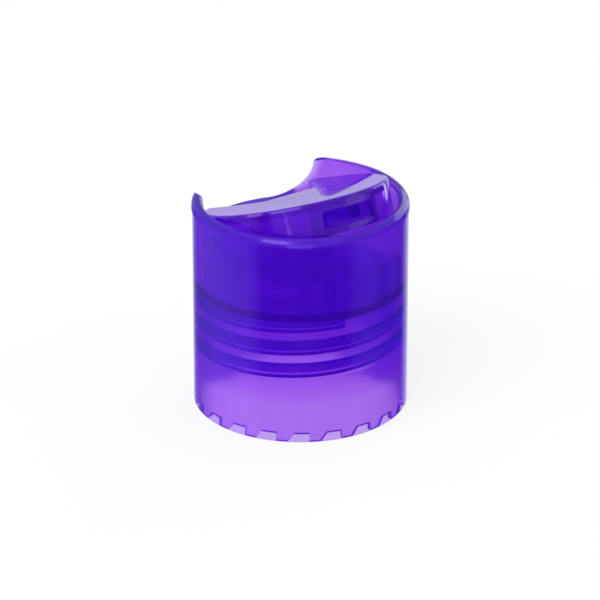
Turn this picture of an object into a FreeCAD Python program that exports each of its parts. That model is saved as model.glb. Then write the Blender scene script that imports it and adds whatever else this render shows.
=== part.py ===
import FreeCAD, Part
import math
import os

import Sketcher

# Disc top cap, 24 mm screw neck, in millimetres.
# The cap stands on its open end. Z is up along the cap's axis, and the spout looks along -Y.
# It is two mouldings: the cap, and the disc that rocks in it on two pins. The disc is placed
# open, as it is after a finger has pressed its rear end down to the deck.

SIZES = {
    # outside of the cap
    "cap_radius": 14.0,
    "rim_height": 28.4,
    "lip_overhang": 0.13,
    "lip_depth": 1.3,
    "rim_outer_round": 0.9,
    "rim_inner_chamfer": 0.25,
    "foot_chamfer": 0.12,
    # inside of the cap, from the open end up
    "skirt_wall": 0.95,
    "skirt_step_height": 4.9,
    "lead_height": 3.8,
    "thread_wall": 1.5,
    "deck_thickness": 1.25,
    "chamber_depth": 10.65,
    "chamber_wall": 1.25,
    # thread of the neck, right-handed
    "thread_pitch": 3.175,
    "thread_start_height": 6.75,
    "thread_end_cover": 0.2,
    "thread_depth": 1.0,
    "thread_foot_width": 2.15,
    "thread_crest_width": 0.25,
    # ratchet notches round the open end
    "notch_count": 20,
    "notch_height": 1.12,
    "notch_width": 2.76,
    "notch_slant": 0.8,
    "notch_skin": 0.3,
    # ring that seals in the mouth of the neck
    "seal_ring_radius": 8.6,
    "seal_ring_wall": 0.8,
    "seal_ring_height": 2.2,
    # product tube on the deck, with its dished seat
    "tube_radius": 4.9,
    "tube_wall": 1.2,
    "tube_height": 3.5,
    "valve_radius": 6.0,
    "valve_clearance": 0.04,
    "orifice_width": 5.0,
    "orifice_length": 1.3,
    # finger scoop in the rim
    "scoop_half_width": 9.4,
    "scoop_depth": 5.85,
    "scoop_corner": 5.3,
    "scoop_tip_round": 1.3,
    # pivot
    "pivot_below_rim": 3.58,
    "pivot_setback": 1.0,
    "pin_radius": 1.0,
    "pin_depth": 0.45,
    "socket_clearance": 0.08,
    # ribs that stop the closed disc
    "rib_width": 1.4,
    "rib_depth": 0.9,
    "rib_inner_angle": 18.0,
    "rib_outer_angle": 33.0,
    "stop_clearance": 0.06,
    # disc
    "disc_gap": 0.55,
    "disc_rise": 3.4,
    "disc_drop": 2.4,
    "disc_top_thickness": 1.2,
    "disc_wall": 1.0,
    "disc_edge_round": 0.4,
    "open_gap": 0.25,
    # finger ramp in the disc
    "ramp_setback": 1.3,
    "ramp_front_half_width": 5.0,
    "ramp_front_corner": 1.6,
    "ramp_wall": 1.0,
    # spout in the disc
    "mouth_half_width": 3.85,
    "mouth_height": 2.25,
    "mouth_below_top": 1.35,
    "mouth_depth": 3.8,
    "channel_radius": 2.6,
    "channel_end": 1.6,
    "nozzle_half_width": 4.85,
    "nozzle_floor": 1.0,
    "plug_half_width": 3.4,
    "plug_front": 1.8,
    "plug_rear": 3.7,
}

doc = FreeCAD.newDocument("disc_top_cap")
sheet = doc.addObject("Spreadsheet::Sheet", "Sizes")
for row, (size_name, value) in enumerate(SIZES.items(), start=1):
    sheet.set(f"A{row}", size_name)
    sheet.set(f"B{row}", str(value))
    sheet.setAlias(f"B{row}", size_name)
doc.recompute()

# Heights, radii and lengths that several features share, as formulas of the sheet's cells.
DECK_TOP = "(Sizes.rim_height - Sizes.chamber_depth)"
DECK_UNDERSIDE = "(Sizes.rim_height - Sizes.chamber_depth - Sizes.deck_thickness)"
PIVOT_HEIGHT = "(Sizes.rim_height - Sizes.pivot_below_rim)"
SKIRT_BORE = "(Sizes.cap_radius - Sizes.skirt_wall)"
THREAD_BORE = "(Sizes.cap_radius - Sizes.thread_wall)"
CHAMBER = "(Sizes.cap_radius - Sizes.chamber_wall)"
DISC_RADIUS = "(Sizes.cap_radius - Sizes.chamber_wall - Sizes.disc_gap)"
PIN_REACH = "(Sizes.cap_radius - Sizes.chamber_wall + Sizes.pin_depth)"
MOUTH_TOP = "(Sizes.disc_rise - Sizes.mouth_below_top)"
MOUTH_SILL = "(Sizes.disc_rise - Sizes.mouth_below_top - Sizes.mouth_height)"
RAMP_DROP = "(Sizes.disc_rise + Sizes.scoop_depth - Sizes.pivot_below_rim)"
RAMP_RUN = f"({DISC_RADIUS} - Sizes.ramp_setback)"
# The disc opens until the underside of its rear end is the open gap above the deck.
REAR_REACH = f"({DISC_RADIUS} - Sizes.pivot_setback)"
REAR_DROP = f"({RAMP_DROP} + Sizes.ramp_wall - Sizes.disc_rise)"
OPEN_DROP = "(Sizes.chamber_depth - Sizes.pivot_below_rim - Sizes.open_gap)"
OPEN_ANGLE = (
    f"(asin({OPEN_DROP} / sqrt({REAR_REACH} ^ 2 + {REAR_DROP} ^ 2)) - "
    f"atan({REAR_DROP} / {REAR_REACH}))"
)
CUT_OVERRUN = 1.0


def origin_of(body, role):
    """Find one of the body's own planes or axes."""
    return next(item for item in body.Origin.OriginFeatures if item.Role == role)


def place(body, name, plane, offset=None, turn=None):
    """Start a sketch on one of the body's own planes, moved along or turned about its normal."""
    sketch = body.newObject("Sketcher::SketchObject", name)
    sketch.AttachmentSupport = (origin_of(body, plane), [""])
    sketch.MapMode = "FlatFace"
    if turn:
        axis, angle = turn
        sketch.AttachmentOffset = FreeCAD.Placement(FreeCAD.Vector(), FreeCAD.Rotation(axis, 10))
        sketch.setExpression("AttachmentOffset.Rotation.Angle", angle)
    if offset:
        sketch.setExpression("AttachmentOffset.Base.z", offset)
    return sketch


def hold_point(sketch, index, end, across, up):
    """Hold one point of the sketch at two formulas, measured from the sketch's origin."""
    for kind, formula in (("DistanceX", across), ("DistanceY", up)):
        if formula == "0":
            held_on = -2 if kind == "DistanceX" else -1
            sketch.addConstraint(Sketcher.Constraint("PointOnObject", index, end, held_on))
        else:
            number = sketch.addConstraint(Sketcher.Constraint(kind, -1, 1, index, end, 1.0))
            name = f"{kind}_{index}_{end}"
            sketch.renameConstraint(number, name)
            sketch.setExpression(f"Constraints.{name}", formula)


def polygon(sketch, corners):
    """Draw a closed outline whose corners are pairs of formulas."""
    count = len(corners)
    rough = [
        FreeCAD.Vector(math.cos(2 * math.pi * k / count), math.sin(2 * math.pi * k / count), 0)
        for k in range(count)
    ]
    first = sketch.GeometryCount
    for k in range(count):
        sketch.addGeometry(Part.LineSegment(rough[k], rough[(k + 1) % count]), False)
    for k in range(count):
        following = first + (k + 1) % count
        sketch.addConstraint(Sketcher.Constraint("Coincident", first + k, 2, following, 1))
    for k, (across, up) in enumerate(corners):
        hold_point(sketch, first + k, 1, across, up)


def circle(sketch, radius, across="0", up="0"):
    """Draw a circle whose centre and radius are formulas."""
    index = sketch.addGeometry(Part.Circle(FreeCAD.Vector(), FreeCAD.Vector(0, 0, 1), 1.0), False)
    if (across, up) == ("0", "0"):
        sketch.addConstraint(Sketcher.Constraint("Coincident", index, 3, -1, 1))
    else:
        hold_point(sketch, index, 3, across, up)
    number = sketch.addConstraint(Sketcher.Constraint("Radius", index, 1.0))
    sketch.renameConstraint(number, f"radius_{index}")
    sketch.setExpression(f"Constraints.radius_{index}", radius)


def trough(sketch, half_width, floor, corner, top):
    """Draw a U with round lower corners; each size is a pair, a formula and its rough value."""
    half, low, radius, high = half_width[1], floor[1], corner[1], top[1]
    left = FreeCAD.Vector(radius - half, low + radius, 0)
    right = FreeCAD.Vector(half - radius, low + radius, 0)
    up = FreeCAD.Vector(0, 0, 1)
    quarter = math.pi / 2
    corners = [
        FreeCAD.Vector(-half, high, 0),
        FreeCAD.Vector(-half, low + radius, 0),
        FreeCAD.Vector(radius - half, low, 0),
        FreeCAD.Vector(half - radius, low, 0),
        FreeCAD.Vector(half, low + radius, 0),
        FreeCAD.Vector(half, high, 0),
    ]
    sketch.addGeometry(Part.LineSegment(corners[0], corners[1]), False)
    sketch.addGeometry(
        Part.ArcOfCircle(Part.Circle(left, up, radius), 2 * quarter, 3 * quarter), False
    )
    sketch.addGeometry(Part.LineSegment(corners[2], corners[3]), False)
    sketch.addGeometry(
        Part.ArcOfCircle(Part.Circle(right, up, radius), 3 * quarter, 4 * quarter), False
    )
    sketch.addGeometry(Part.LineSegment(corners[4], corners[5]), False)
    sketch.addGeometry(Part.LineSegment(corners[5], corners[0]), False)
    for one, end, other, start in ((0, 2, 1, 1), (1, 2, 2, 1), (2, 2, 3, 1), (3, 2, 4, 1)):
        sketch.addConstraint(Sketcher.Constraint("Tangent", one, end, other, start))
    sketch.addConstraint(Sketcher.Constraint("Coincident", 4, 2, 5, 1))
    sketch.addConstraint(Sketcher.Constraint("Coincident", 5, 2, 0, 1))
    sketch.addConstraint(Sketcher.Constraint("Vertical", 0))
    sketch.addConstraint(Sketcher.Constraint("Vertical", 4))
    sketch.addConstraint(Sketcher.Constraint("Horizontal", 2))
    sketch.addConstraint(Sketcher.Constraint("Symmetric", 5, 1, 5, 2, -2))
    sketch.addConstraint(Sketcher.Constraint("Equal", 1, 3))
    driving = (
        ("half_width", Sketcher.Constraint("DistanceX", -1, 1, 5, 1, half), half_width[0]),
        ("top", Sketcher.Constraint("DistanceY", -1, 1, 5, 1, high), top[0]),
        ("floor", Sketcher.Constraint("DistanceY", -1, 1, 2, 1, low), floor[0]),
        ("corner", Sketcher.Constraint("Radius", 1, radius), corner[0]),
    )
    for name, constraint, formula in driving:
        number = sketch.addConstraint(constraint)
        sketch.renameConstraint(number, name)
        sketch.setExpression(f"Constraints.{name}", formula)


def feature(body, kind, name, sketch, **settings):
    """Make a sketch-based feature and recompute it."""
    made = body.newObject(f"PartDesign::{kind}", name)
    made.Profile = sketch
    for key, setting in settings.items():
        if isinstance(setting, str) and key != "Mode":
            made.setExpression(key, setting)
        else:
            setattr(made, key, setting)
    sketch.Visibility = False
    doc.recompute()
    return made


def rounded_corner(side, top, bend, facets, inward="-"):
    """Corners that stand in for a round, from the top face out to the side face."""
    corners = []
    for k in range(facets + 1):
        angle = math.radians(90 * k / facets)
        across, down = round(1 - math.sin(angle), 4), round(1 - math.cos(angle), 4)
        corners.append((f"{side} {inward} {across} * {bend}", f"{top} - {down} * {bend}"))
    return corners


def make_cap():
    """The cap: skirt, deck, chamber wall and everything moulded on them."""
    cap = doc.addObject("PartDesign::Body", "Cap")
    cap.Label = "cap_body"

    # turned shape of skirt, deck and chamber wall
    outline = place(cap, "cap_outline", "YZ_Plane")
    lip_foot = "Sizes.rim_height - Sizes.lip_depth"
    lip_radius = "Sizes.cap_radius + Sizes.lip_overhang"
    polygon(
        outline,
        [
            (SKIRT_BORE, "0"),
            ("Sizes.cap_radius - Sizes.foot_chamfer", "0"),
            ("Sizes.cap_radius", "Sizes.foot_chamfer"),
            ("Sizes.cap_radius", lip_foot + " - Sizes.lip_overhang"),
            (lip_radius, lip_foot),
            *reversed(rounded_corner(lip_radius, "Sizes.rim_height", "Sizes.rim_outer_round", 3)),
            (CHAMBER + " + Sizes.rim_inner_chamfer", "Sizes.rim_height"),
            (CHAMBER, "Sizes.rim_height - Sizes.rim_inner_chamfer"),
            (CHAMBER, DECK_TOP),
            ("0", DECK_TOP),
            ("0", DECK_UNDERSIDE),
            (THREAD_BORE, DECK_UNDERSIDE),
            (THREAD_BORE, "Sizes.skirt_step_height + Sizes.lead_height"),
            (SKIRT_BORE, "Sizes.skirt_step_height"),
        ],
    )
    feature(cap, "Revolution", "turned_wall", outline, ReferenceAxis=(outline, ["V_Axis"]))

    # product tube, dished on top for the disc's plug and cored out from below
    tube = place(cap, "tube_circle", "XY_Plane", offset=DECK_TOP)
    circle(tube, "Sizes.tube_radius", up="Sizes.pivot_setback")
    feature(cap, "Pad", "product_tube", tube, Length="Sizes.tube_height")
    core = place(cap, "core_circle", "XY_Plane", offset=DECK_UNDERSIDE)
    circle(core, "Sizes.tube_radius - Sizes.tube_wall", up="Sizes.pivot_setback")
    roof = f"{PIVOT_HEIGHT} - Sizes.valve_radius - Sizes.tube_wall"
    feature(cap, "Pocket", "tube_core", core, Length=f"{roof} - {DECK_UNDERSIDE}", Reversed=True)
    seat = place(cap, "seat_circle", "YZ_Plane")
    circle(seat, "Sizes.valve_radius", across="Sizes.pivot_setback", up=PIVOT_HEIGHT)
    feature(cap, "Pocket", "valve_seat", seat, Midplane=True, Length="3 * Sizes.tube_radius")
    orifice = place(cap, "orifice_outline", "XY_Plane", offset=DECK_UNDERSIDE)
    rectangle_at(orifice, "Sizes.orifice_width", "Sizes.orifice_length", "Sizes.pivot_setback")
    feature(
        cap, "Pocket", "orifice", orifice, Length="Sizes.tube_height + Sizes.deck_thickness",
        Reversed=True,
    )

    # ring that enters the mouth of the neck
    ring = place(cap, "ring_circles", "XY_Plane", offset=DECK_UNDERSIDE)
    circle(ring, "Sizes.seal_ring_radius")
    circle(ring, "Sizes.seal_ring_radius - Sizes.seal_ring_wall")
    feature(cap, "Pad", "seal_ring", ring, Length="Sizes.seal_ring_height", Reversed=True)

    # ribs that the closed disc's skirt comes down on, two on each side of the spout
    for side in (-1, 1):
        for which in ("inner", "outer"):
            angle = f"{side} * Sizes.rib_{which}_angle"
            name = f"rib_{which}_{'left' if side < 0 else 'right'}"
            rib = place(
                cap, name + "_outline", "XY_Plane", offset=DECK_TOP,
                turn=(FreeCAD.Vector(0, 0, 1), angle),
            )
            inner = f"-({CHAMBER} - Sizes.rib_depth)"
            outer = f"-({CHAMBER} + Sizes.rib_depth / 2)"
            half = "Sizes.rib_width / 2"
            polygon(rib, [("-" + half, inner), ("-" + half, outer), (half, outer), (half, inner)])
            feature(
                cap, "Pad", name, rib,
                Length=f"{PIVOT_HEIGHT} - Sizes.disc_drop - Sizes.stop_clearance - {DECK_TOP}",
            )

    # sockets for the disc's pins
    socket = place(cap, "socket_circle", "YZ_Plane")
    circle(
        socket, "Sizes.pin_radius + Sizes.socket_clearance",
        across="Sizes.pivot_setback", up=PIVOT_HEIGHT,
    )
    feature(
        cap, "Pocket", "pivot_sockets", socket, Midplane=True,
        Length=f"2 * ({PIN_REACH} + Sizes.socket_clearance)",
    )

    # finger scoop, cut through the rear of the rim only, its two tips rounded
    scoop = place(cap, "scoop_outline", "XZ_Plane")
    trough(
        scoop,
        ("Sizes.scoop_half_width", SIZES["scoop_half_width"]),
        ("Sizes.rim_height - Sizes.scoop_depth", SIZES["rim_height"] - SIZES["scoop_depth"]),
        ("Sizes.scoop_corner", SIZES["scoop_corner"]),
        (f"Sizes.rim_height + {CUT_OVERRUN}", SIZES["rim_height"] + CUT_OVERRUN),
    )
    feature(cap, "Pocket", "finger_scoop", scoop, Length="2 * Sizes.cap_radius")
    tips = place(cap, "scoop_tips_outline", "XZ_Plane")
    right = rounded_corner(
        "Sizes.scoop_half_width", "Sizes.rim_height", "Sizes.scoop_tip_round", 5, inward="+"
    )
    above = f"Sizes.rim_height + {CUT_OVERRUN}"
    outer = "Sizes.scoop_half_width + Sizes.scoop_tip_round"
    left = [(f"-({across})", up) for across, up in reversed(right)]
    polygon(tips, [(outer, above), *right, *left, (f"-({outer})", above)])
    feature(cap, "Pocket", "scoop_tips", tips, Length="2 * Sizes.cap_radius")
    cut_notches(cap)
    add_thread(cap)
    return cap


def rectangle_at(sketch, width, length, up):
    """Draw a rectangle centred on the sketch's vertical axis at a height."""
    left, right = f"-({width}) / 2", f"({width}) / 2"
    low, high = f"({up}) - ({length}) / 2", f"({up}) + ({length}) / 2"
    polygon(sketch, [(left, low), (right, low), (right, high), (left, high)])


def cut_notches(cap):
    """Cut the ratchet notches from inside, so that a thin skin stays round the outside."""
    notch = place(
        cap, "notch_outline", "XZ_Plane",
        offset=f"{SKIRT_BORE} - 2 * Sizes.notch_skin",
    )
    polygon(
        notch,
        [
            ("-Sizes.notch_width / 2", f"-{CUT_OVERRUN}"),
            ("Sizes.notch_width / 2", f"-{CUT_OVERRUN}"),
            ("Sizes.notch_width / 2", "Sizes.notch_height"),
            ("Sizes.notch_slant - Sizes.notch_width / 2", "Sizes.notch_height"),
            ("-Sizes.notch_width / 2", "0.001"),
        ],
    )
    depth = f"Sizes.cap_radius - Sizes.notch_skin - ({SKIRT_BORE} - 2 * Sizes.notch_skin)"
    cut = feature(cap, "Pocket", "ratchet_notch", notch, Length=depth, Reversed=True)
    pattern = cap.newObject("PartDesign::PolarPattern", "ratchet_notches")
    pattern.Originals = [cut]
    pattern.Axis = (origin_of(cap, "Z_Axis"), [""])
    pattern.Angle = 360
    pattern.setExpression("Occurrences", "Sizes.notch_count")
    cap.Tip = pattern
    doc.recompute()


def add_thread(cap):
    """Wind the thread ridge up the bore; its lower flank is the steep one."""
    ridge = place(cap, "ridge_outline", "XZ_Plane")
    root = f"{THREAD_BORE} + 0.02"
    crest = f"{THREAD_BORE} - Sizes.thread_depth"
    climb = (
        f"({DECK_TOP} - Sizes.thread_end_cover - Sizes.thread_foot_width"
        " - Sizes.thread_start_height)"
    )
    polygon(
        ridge,
        [
            (SKIRT_BORE, "Sizes.thread_start_height"),
            (SKIRT_BORE, "Sizes.thread_start_height + Sizes.thread_foot_width"),
            (root, "Sizes.thread_start_height + Sizes.thread_foot_width"),
            (crest, "Sizes.thread_start_height + Sizes.thread_crest_width + 0.15"),
            (crest, "Sizes.thread_start_height + 0.15"),
            (root, "Sizes.thread_start_height"),
        ],
    )
    helix = feature(
        cap, "AdditiveHelix", "neck_thread", ridge, ReferenceAxis=(ridge, ["V_Axis"]),
        Mode="pitch-turns-angle", Pitch="Sizes.thread_pitch", Turns=f"{climb} / Sizes.thread_pitch",
        LeftHanded=False,
    )
    return helix


def make_disc():
    """The disc, drawn closed about its pivot and then turned open."""
    disc = doc.addObject("PartDesign::Body", "Disc")
    disc.Label = "disc"
    centre = "-Sizes.pivot_setback"

    # plug under the spout, with a rounded end that slides over the seat
    plug = place(disc, "plug_outline", "XY_Plane")
    polygon(
        plug,
        [
            ("-Sizes.plug_half_width", "-Sizes.plug_front"),
            ("Sizes.plug_half_width", "-Sizes.plug_front"),
            ("Sizes.plug_half_width", "Sizes.plug_rear"),
            ("-Sizes.plug_half_width", "Sizes.plug_rear"),
        ],
    )
    feature(disc, "Pad", "plug_block", plug, Length="Sizes.valve_radius", Reversed=True)
    rounding = place(disc, "plug_end_circles", "YZ_Plane")
    circle(rounding, "Sizes.valve_radius - Sizes.valve_clearance")
    circle(rounding, "3 * Sizes.valve_radius")
    feature(disc, "Pocket", "plug_end", rounding, Midplane=True, Length="3 * Sizes.plug_half_width")

    # block that holds the spout channel, from the plug to the front
    nozzle = place(disc, "nozzle_outline", "XY_Plane", offset=f"{MOUTH_SILL} - Sizes.nozzle_floor")
    reach = f"-({DISC_RADIUS} + Sizes.pivot_setback + {CUT_OVERRUN})"
    polygon(
        nozzle,
        [
            ("-Sizes.nozzle_half_width", reach),
            ("Sizes.nozzle_half_width", reach),
            ("Sizes.nozzle_half_width", "Sizes.plug_rear"),
            ("-Sizes.nozzle_half_width", "Sizes.plug_rear"),
        ],
    )
    roof = "Sizes.disc_rise - Sizes.disc_top_thickness / 2"
    feature(disc, "Pad", "nozzle", nozzle, Length=f"{roof} - ({MOUTH_SILL} - Sizes.nozzle_floor)")

    # underside of the finger ramp, then everything trimmed to the disc's round outline and top
    add_ramp(disc, "ramp_shell", "AdditiveLoft", 0.0, 1.1, "Sizes.ramp_wall", SIZES["ramp_wall"])
    top = place(
        disc, "top_circle", "XY_Plane", offset="Sizes.disc_rise - Sizes.disc_top_thickness"
    )
    circle(top, f"{DISC_RADIUS} + Sizes.disc_wall", up=centre)
    feature(disc, "Pad", "top_plate", top, Length="2 * Sizes.disc_top_thickness")
    skirt = place(disc, "skirt_circles", "XY_Plane", offset="-Sizes.disc_drop")
    circle(skirt, f"{DISC_RADIUS} + Sizes.disc_wall", up=centre)
    circle(skirt, f"{DISC_RADIUS} - Sizes.disc_wall", up=centre)
    feature(disc, "Pad", "skirt", skirt, Length=f"Sizes.disc_drop + {roof}")
    trim = place(disc, "trim_outline", "YZ_Plane")
    trim.setExpression("AttachmentOffset.Base.x", "-Sizes.pivot_setback")
    beyond = f"2 * {DISC_RADIUS}"
    polygon(
        trim,
        [
            *rounded_corner(DISC_RADIUS, "Sizes.disc_rise", "Sizes.disc_edge_round", 2),
            (DISC_RADIUS, f"-{beyond}"),
            (beyond, f"-{beyond}"),
            (beyond, beyond),
            ("0", beyond),
            ("0", "Sizes.disc_rise"),
        ],
    )
    feature(disc, "Groove", "round_outline", trim, ReferenceAxis=(trim, ["V_Axis"]))
    add_ramp(disc, "finger_ramp", "SubtractiveLoft", -0.2, 1.1, "0", 0.0)
    cut_spout(disc)
    add_pins(disc)

    disc.Placement = FreeCAD.Placement(
        FreeCAD.Vector(), FreeCAD.Rotation(FreeCAD.Vector(-1, 0, 0), 10)
    )
    disc.setExpression("Placement.Base.y", "Sizes.pivot_setback")
    disc.setExpression("Placement.Base.z", PIVOT_HEIGHT)
    disc.setExpression("Placement.Rotation.Angle", OPEN_ANGLE)
    return disc


def add_ramp(disc, name, kind, near, far, wall, wall_value):
    """Loft a U from one station of the ramp's run to another.

    The ramp starts level with the disc's top and ends flush with the scoop. A wall makes the U
    larger all round.
    """
    size = SIZES
    drop = size["disc_rise"] + size["scoop_depth"] - size["pivot_below_rim"]
    sketches = []
    for label, share in (("near", near), ("far", far)):
        start = "Sizes.ramp_setback - Sizes.pivot_setback"
        sketch = place(
            disc, f"{name}_{label}", "XZ_Plane", offset=f"-({start} + {share} * {RAMP_RUN})"
        )
        half = (
            f"Sizes.ramp_front_half_width + {share} * "
            f"(Sizes.scoop_half_width - Sizes.ramp_front_half_width) + {wall}"
        )
        half_value = size["ramp_front_half_width"] + wall_value
        half_value += share * (size["scoop_half_width"] - size["ramp_front_half_width"])
        corner = (
            f"Sizes.ramp_front_corner + {share} * "
            f"(Sizes.scoop_corner - Sizes.ramp_front_corner) + {wall}"
        )
        corner_value = size["ramp_front_corner"] + wall_value
        corner_value += share * (size["scoop_corner"] - size["ramp_front_corner"])
        trough(
            sketch,
            (half, half_value),
            (
                f"Sizes.disc_rise - {share} * {RAMP_DROP} - {wall}",
                size["disc_rise"] - share * drop - wall_value,
            ),
            (corner, corner_value),
            ("2 * Sizes.disc_rise", 2 * size["disc_rise"]),
        )
        sketches.append(sketch)
    loft = disc.newObject(f"PartDesign::{kind}", name)
    loft.Profile = sketches[0]
    loft.Sections = [sketches[1]]
    loft.Ruled = True
    doc.recompute()
    return loft


def cut_spout(disc):
    """Cut the mouth in the skirt, the channel behind it and the inlet through the plug."""
    front = f"{DISC_RADIUS} + Sizes.pivot_setback"
    mouth = place(disc, "mouth_outline", "XZ_Plane", offset=f"{front} + {CUT_OVERRUN}")
    polygon(
        mouth,
        [
            ("-Sizes.mouth_half_width", MOUTH_SILL),
            ("Sizes.mouth_half_width", MOUTH_SILL),
            ("Sizes.mouth_half_width", MOUTH_TOP),
            ("-Sizes.mouth_half_width", MOUTH_TOP),
        ],
    )
    feature(disc, "Pocket", "spout_mouth", mouth, Length=f"Sizes.mouth_depth + {CUT_OVERRUN}")

    channel = place(disc, "channel_outline", "XZ_Plane", offset=f"{front} + {CUT_OVERRUN}")
    radius = SIZES["channel_radius"]
    top = SIZES["disc_rise"] - SIZES["mouth_below_top"]
    centre = FreeCAD.Vector(0, top - radius, 0)
    lean = math.asin((radius - SIZES["mouth_height"]) / radius)
    circle_of_roof = Part.Circle(centre, FreeCAD.Vector(0, 0, 1), radius)
    roof = Part.ArcOfCircle(circle_of_roof, lean, math.pi - lean)
    channel.addGeometry(roof, False)
    channel.addGeometry(Part.LineSegment(roof.EndPoint, roof.StartPoint), False)
    channel.addConstraint(Sketcher.Constraint("Coincident", 0, 2, 1, 1))
    channel.addConstraint(Sketcher.Constraint("Coincident", 1, 2, 0, 1))
    channel.addConstraint(Sketcher.Constraint("Horizontal", 1))
    hold_point(channel, 0, 3, "0", f"{MOUTH_TOP} - Sizes.channel_radius")
    number = channel.addConstraint(Sketcher.Constraint("Radius", 0, radius))
    channel.renameConstraint(number, "radius")
    channel.setExpression("Constraints.radius", "Sizes.channel_radius")
    sill = top - SIZES["mouth_height"]
    number = channel.addConstraint(Sketcher.Constraint("DistanceY", -1, 1, 1, 1, sill))
    channel.renameConstraint(number, "sill")
    channel.setExpression("Constraints.sill", MOUTH_SILL)
    feature(
        disc, "Pocket", "spout_channel", channel,
        Length=f"{front} + {CUT_OVERRUN} + Sizes.channel_end",
    )

    inlet = place(
        disc, "inlet_outline", "XY_Plane",
        turn=(FreeCAD.Vector(1, 0, 0), OPEN_ANGLE),
    )
    rectangle_at(inlet, "Sizes.orifice_width", "Sizes.orifice_length", "0")
    feature(disc, "Pocket", "inlet", inlet, Length="Sizes.valve_radius + 1")


def add_pins(disc):
    """Put the two pivot pins on the outside of the skirt."""
    seat = f"({DISC_RADIUS} - Sizes.disc_wall * 0.7)"
    for side in (-1, 1):
        name = "left_pin" if side < 0 else "right_pin"
        outline = place(disc, name + "_circle", "YZ_Plane", offset=f"{side} * {seat}")
        circle(outline, "Sizes.pin_radius")
        feature(
            disc, "Pad", name, outline, Length=f"{PIN_REACH} - {seat}", Reversed=side < 0
        )


cap_body = make_cap()
disc_body = make_disc()
doc.recompute()

for item in doc.Objects:
    if "Invalid" in item.State or "Error" in item.State:
        raise RuntimeError(f"{item.Label} did not build: {item.State}")
os.makedirs("parts", exist_ok=True)
for body in (cap_body, disc_body):
    if not body.Shape.isValid() or len(body.Shape.Solids) != 1:
        raise RuntimeError(f"{body.Label} is not one valid solid")
    body.Shape.exportStep(f"parts/{body.Label}.step")
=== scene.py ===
import bpy
import math
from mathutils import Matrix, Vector

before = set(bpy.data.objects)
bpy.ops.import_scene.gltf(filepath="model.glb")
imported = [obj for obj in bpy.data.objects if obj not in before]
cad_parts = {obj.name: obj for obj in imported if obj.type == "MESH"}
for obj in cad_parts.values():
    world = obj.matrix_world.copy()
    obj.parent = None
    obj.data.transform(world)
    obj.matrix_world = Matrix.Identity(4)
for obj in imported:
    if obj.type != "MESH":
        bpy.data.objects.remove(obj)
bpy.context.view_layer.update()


# View of the cap.
# A long lens from 25 degrees up, 35 degrees round to the side of the spout, as in the
# photograph. The camera looks at the middle of the cap from about 0.6 m away.
scene = bpy.context.scene
look_at = Vector((0.0, 0.0, 0.013693))
turn, rise = math.radians(-35.0), math.radians(25.04)
distance = 0.60563
frame_width = 600.0  # pixels
away = Vector((math.sin(turn) * math.cos(rise), -math.cos(turn) * math.cos(rise), math.sin(rise)))
bpy.ops.object.camera_add(location=look_at + distance * away)
camera = bpy.context.object
camera.name = "photo_camera"
camera.rotation_euler = away.to_track_quat("Z", "Y").to_euler()
camera.data.sensor_width = 36.0
camera.data.lens = 278.69
camera.data.shift_x = -0.457 / frame_width
camera.data.shift_y = 0.437 / frame_width
camera.data.clip_start = 0.05
scene.camera = camera
scene.view_settings.view_transform = "Standard"
# light goes round inside clear walls many times before it comes out again
scene.cycles.max_bounces = 32
scene.cycles.glossy_bounces = 24
scene.cycles.transmission_bounces = 32


def linear(colour):
    """Turn an sRGB hex colour into linear red, green, blue and a full alpha."""
    parts = [int(colour[k:k + 2], 16) / 255.0 for k in (1, 3, 5)]
    return tuple(
        p / 12.92 if p <= 0.04045 else ((p + 0.055) / 1.055) ** 2.4 for p in parts
    ) + (1.0,)


def add_node(tree, kind, settings=None, links=None):
    """Add one node, set its inputs and properties, and link its inputs to other outputs."""
    node = tree.nodes.new(kind)
    for name, value in (settings or {}).items():
        if isinstance(name, int) or name in node.inputs:
            node.inputs[name].default_value = value
        else:
            setattr(node, name, value)
    for name, source in (links or {}).items():
        tree.links.new(source, node.inputs[name])
    return node


# Floor and light.
# A white paper sweep under the cap, in a white room. Broad soft lamps light it, two from the
# left, one from the right and one from behind right, and two small ones edge the gloss.
bpy.ops.object.select_all(action="DESELECT")
bpy.ops.mesh.primitive_plane_add(size=3.0, location=(0.0, 0.0, -0.00002))
floor = bpy.context.object
floor.name = "floor"
paper = bpy.data.materials.new("white_paper_sweep")
paper.use_nodes = True
tree = paper.node_tree
tree.nodes.clear()
# the camera sees the paper almost white with the cap's shadow left on it, and the clear
# plastic shows it fully white
path = add_node(tree, "ShaderNodeLightPath")
plain = add_node(tree, "ShaderNodeBsdfDiffuse", {"Color": linear("#F2F2F2")})
glow = add_node(tree, "ShaderNodeEmission", {"Color": linear("#FFFFFF"), "Strength": 1.0})
seen = add_node(
    tree, "ShaderNodeMath", {"operation": "MULTIPLY", 1: 0.8}, {0: path.outputs["Is Camera Ray"]}
)
share = add_node(
    tree, "ShaderNodeMath", {"operation": "MAXIMUM"},
    {0: seen.outputs[0], 1: path.outputs["Is Transmission Ray"]},
)
lit = add_node(
    tree, "ShaderNodeMixShader", None,
    {0: share.outputs[0], 1: plain.outputs[0], 2: glow.outputs[0]},
)
# mirrored rays pass the paper and meet the cards of the room below
only_mirrored = add_node(
    tree, "ShaderNodeMath", {"operation": "GREATER_THAN"},
    {0: path.outputs["Is Glossy Ray"], 1: path.outputs["Is Transmission Ray"]},
)
passed = add_node(tree, "ShaderNodeBsdfTransparent")
mixed = add_node(
    tree, "ShaderNodeMixShader", None,
    {0: only_mirrored.outputs[0], 1: lit.outputs[0], 2: passed.outputs[0]},
)
add_node(tree, "ShaderNodeOutputMaterial", None, {"Surface": mixed.outputs[0]})
floor.data.materials.append(paper)

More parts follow.
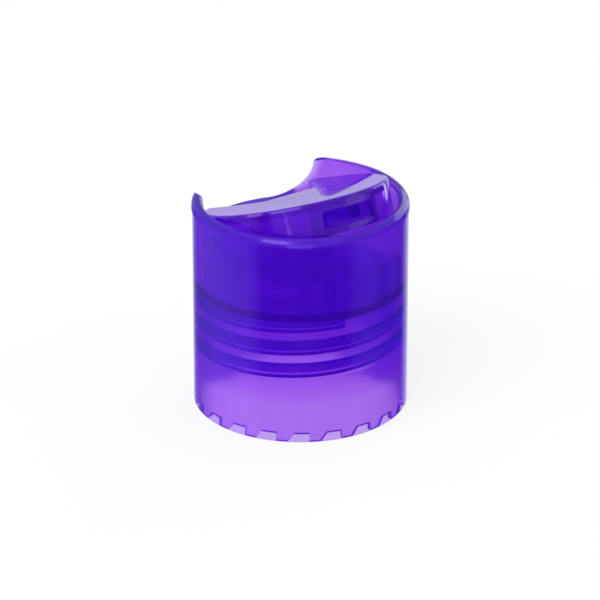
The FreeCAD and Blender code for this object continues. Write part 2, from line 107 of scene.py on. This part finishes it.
room = bpy.data.worlds.new("white_room")
room.use_nodes = True
scene.world = room
tree = room.node_tree
tree.nodes.clear()
path = add_node(tree, "ShaderNodeLightPath")
dim = add_node(tree, "ShaderNodeBackground", {"Color": linear("#FFFFFF"), "Strength": 0.65})
bright = add_node(tree, "ShaderNodeBackground", {"Color": linear("#FFFFFF"), "Strength": 1.0})
seen_or_passed = add_node(
    tree, "ShaderNodeMath", {"operation": "MAXIMUM"},
    {0: path.outputs["Is Camera Ray"], 1: path.outputs["Is Transmission Ray"]},
)
mixed = add_node(
    tree, "ShaderNodeMixShader", None,
    {0: seen_or_passed.outputs[0], 1: dim.outputs[0], 2: bright.outputs[0]},
)
# what the glossy wall mirrors below eye level: bright behind, a grey card at each side and the
# dark studio in front
view = add_node(tree, "ShaderNodeTexCoord")
turned = add_node(
    tree, "ShaderNodeMapping", {"Rotation": (0.0, 0.0, math.radians(-90.0) - turn)},
    {"Vector": view.outputs["Generated"]},
)
around = add_node(
    tree, "ShaderNodeTexGradient", {"gradient_type": "RADIAL"}, {"Vector": turned.outputs[0]}
)
cards = add_node(tree, "ShaderNodeValToRGB", None, {0: around.outputs[1]})
# share of a full turn from the front, by way of the right, and how bright the room is there
stops = (
    (0.148, 0.0), (0.163, 0.28), (0.224, 0.28), (0.27, 0.12), (0.385, 0.06), (0.415, 0.55),
    (0.45, 1.0), (0.48, 0.87), (0.54, 0.87), (0.56, 0.4), (0.6, 0.15), (0.66, 0.25), (0.71, 0.5),
    (0.76, 0.62), (0.84, 0.62), (0.885, 0.0),
)
ramp = cards.color_ramp
while len(ramp.elements) < len(stops):
    ramp.elements.new(0.5)
for stop, (where, level) in zip(ramp.elements, stops):
    stop.position = where
    stop.color = (level, level, level, 1.0)
mirrored = add_node(
    tree, "ShaderNodeBackground", {"Strength": 1.1}, {"Color": cards.outputs["Color"]}
)
height = add_node(
    tree, "ShaderNodeSeparateXYZ", None, {"Vector": view.outputs["Generated"]}
)
below = add_node(
    tree, "ShaderNodeMath", {"operation": "LESS_THAN", 1: 0.0}, {0: height.outputs["Z"]}
)
only_below = add_node(
    tree, "ShaderNodeMath", {"operation": "GREATER_THAN"},
    {0: below.outputs[0], 1: seen_or_passed.outputs[0]},
)
whole = add_node(
    tree, "ShaderNodeMixShader", None,
    {0: only_below.outputs[0], 1: mixed.outputs[0], 2: mirrored.outputs[0]},
)
add_node(tree, "ShaderNodeOutputWorld", None, {"Surface": whole.outputs[0]})


def soft_lamp(name, place, width, height, power):
    """Hang a rectangular soft box that faces the cap: metres and watts."""
    bpy.ops.object.light_add(type="AREA", location=place)
    lamp = bpy.context.object
    lamp.name = name
    lamp.data.shape = "RECTANGLE"
    lamp.data.size = width
    lamp.data.size_y = height
    lamp.data.energy = power
    lamp.rotation_euler = (Vector(place) - look_at).to_track_quat("Z", "Y").to_euler()


soft_lamp("lamp_above_left", (-0.55, -0.25, 0.75), 0.5, 0.5, 3.6)
soft_lamp("lamp_right", (0.55, -0.55, 0.35), 0.5, 0.6, 1.0)
# the thin light line along the front of the rim
soft_lamp("lamp_low_in_front", (-0.41, -0.565, 0.07), 0.34, 0.06, 0.13)
soft_lamp("lamp_low_on_the_left", (-0.75, 0.1, 0.3), 0.4, 0.4, 2.0)
# the lavender sheen on the right of the rim and on the scoop's left tip
soft_lamp("lamp_behind_right", (0.536, 0.2, 0.2), 0.45, 0.36, 0.9)
# the white streak down the right edge of the disc
soft_lamp("card_beside_the_disc", (0.083, 0.014, 0.0145), 0.010, 0.012, 0.0012)


# Cap body.
# Injection-moulded polypropylene, dyed purple and left translucent. Each millimetre that is
# looked through takes out more green and red, so thin places are lilac and thick ones violet.
def dyed_polypropylene(name, polished_beyond, polished, dull, cloudiness, haze_colour, dye):
    """Make the dyed plastic: a moulded skin over a mass that absorbs light as it gets thicker."""
    made = bpy.data.materials.new(name)
    made.use_nodes = True
    tree = made.node_tree
    tree.nodes.clear()
    place = add_node(tree, "ShaderNodeTexCoord")
    # the cavity side of the mould is polished and the core side is only stoned
    flat = add_node(
        tree, "ShaderNodeVectorMath", {"operation": "MULTIPLY", 1: (1.0, 1.0, 0.0)},
        {0: place.outputs["Object"]},
    )
    radius = add_node(
        tree, "ShaderNodeVectorMath", {"operation": "LENGTH"}, {0: flat.outputs["Vector"]}
    )
    side = add_node(
        tree, "ShaderNodeMapRange",
        {
            "From Min": polished_beyond - 0.0003, "From Max": polished_beyond,
            "To Min": dull, "To Max": polished,
        },
        {"Value": radius.outputs["Value"]},
    )
    # flow of the melt in the mould: soft clouds about 6 mm across
    flow = add_node(
        tree, "ShaderNodeTexNoise", {"Scale": 160.0, "Detail": 2.0, "Roughness": 0.5},
        {"Vector": place.outputs["Object"]},
    )
    clouds = add_node(
        tree, "ShaderNodeMapRange",
        {"From Min": 0.35, "From Max": 0.65, "To Min": 0.85, "To Max": 1.2},
        {"Value": flow.outputs[0]},
    )
    gloss = add_node(
        tree, "ShaderNodeMath", {"operation": "MULTIPLY"},
        {0: side.outputs[0], 1: clouds.outputs[0]},
    )
    # faint waves where the plastic shrank as it cooled: about 2.5 mm across and 5 microns deep
    shrinkage = add_node(
        tree, "ShaderNodeTexNoise", {"Scale": 400.0, "Detail": 0.0},
        {"Vector": place.outputs["Object"]},
    )
    bumps = add_node(
        tree, "ShaderNodeBump", {"Strength": 0.5, "Distance": 0.00001},
        {"Height": shrinkage.outputs[0]},
    )
    # the glossy skin, whose highlights keep a trace of the dye
    skin = add_node(
        tree, "ShaderNodeBsdfPrincipled",
        {
            "Base Color": linear("#F0E0FF"), "Specular Tint": linear("#F0C4FF"), "IOR": 1.49,
            "Transmission Weight": 1.0,
        },
        {"Roughness": gloss.outputs[0], "Normal": bumps.outputs[0]},
    )
    # crystals in the plastic scatter a little violet light, so no deep part goes black
    sent_back = add_node(tree, "ShaderNodeBsdfDiffuse", {"Color": linear(haze_colour)})
    passed_on = add_node(tree, "ShaderNodeBsdfTranslucent", {"Color": linear("#C090FF")})
    haze = add_node(
        tree, "ShaderNodeMixShader", {0: 0.3}, {1: sent_back.outputs[0], 2: passed_on.outputs[0]}
    )
    cloudy = add_node(
        tree, "ShaderNodeMixShader", {0: cloudiness}, {1: skin.outputs[0], 2: haze.outputs[0]}
    )
    # the dye: its colour is what one unit of depth lets through
    mass = add_node(
        tree, "ShaderNodeVolumeAbsorption", {"Color": linear("#CE3EFA"), "Density": dye}
    )
    add_node(
        tree, "ShaderNodeOutputMaterial", None,
        {"Surface": cloudy.outputs[0], "Volume": mass.outputs[0]},
    )
    return made


# the outside, beyond a radius of 13.3 mm, is polished, and the bores are duller
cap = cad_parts["cap_body"]
cap.data.materials.clear()
cap.data.materials.append(dyed_polypropylene(
    "dyed_polypropylene_cap", polished_beyond=0.0133, polished=0.08, dull=0.2,
    cloudiness=0.2, haze_colour="#7A18FF", dye=1150.0,
))


# Disc.
# The same dyed polypropylene in a second moulding, which snaps into the cap on its two pins.
# It is polished all over and holds a little less dye, so the ramp and the channel show through.
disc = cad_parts["disc"]
disc.data.materials.clear()
disc.data.materials.append(dyed_polypropylene(
    "dyed_polypropylene_disc", polished_beyond=0.0, polished=0.05, dull=0.05,
    cloudiness=0.23, haze_colour="#9010FF", dye=900.0,
))
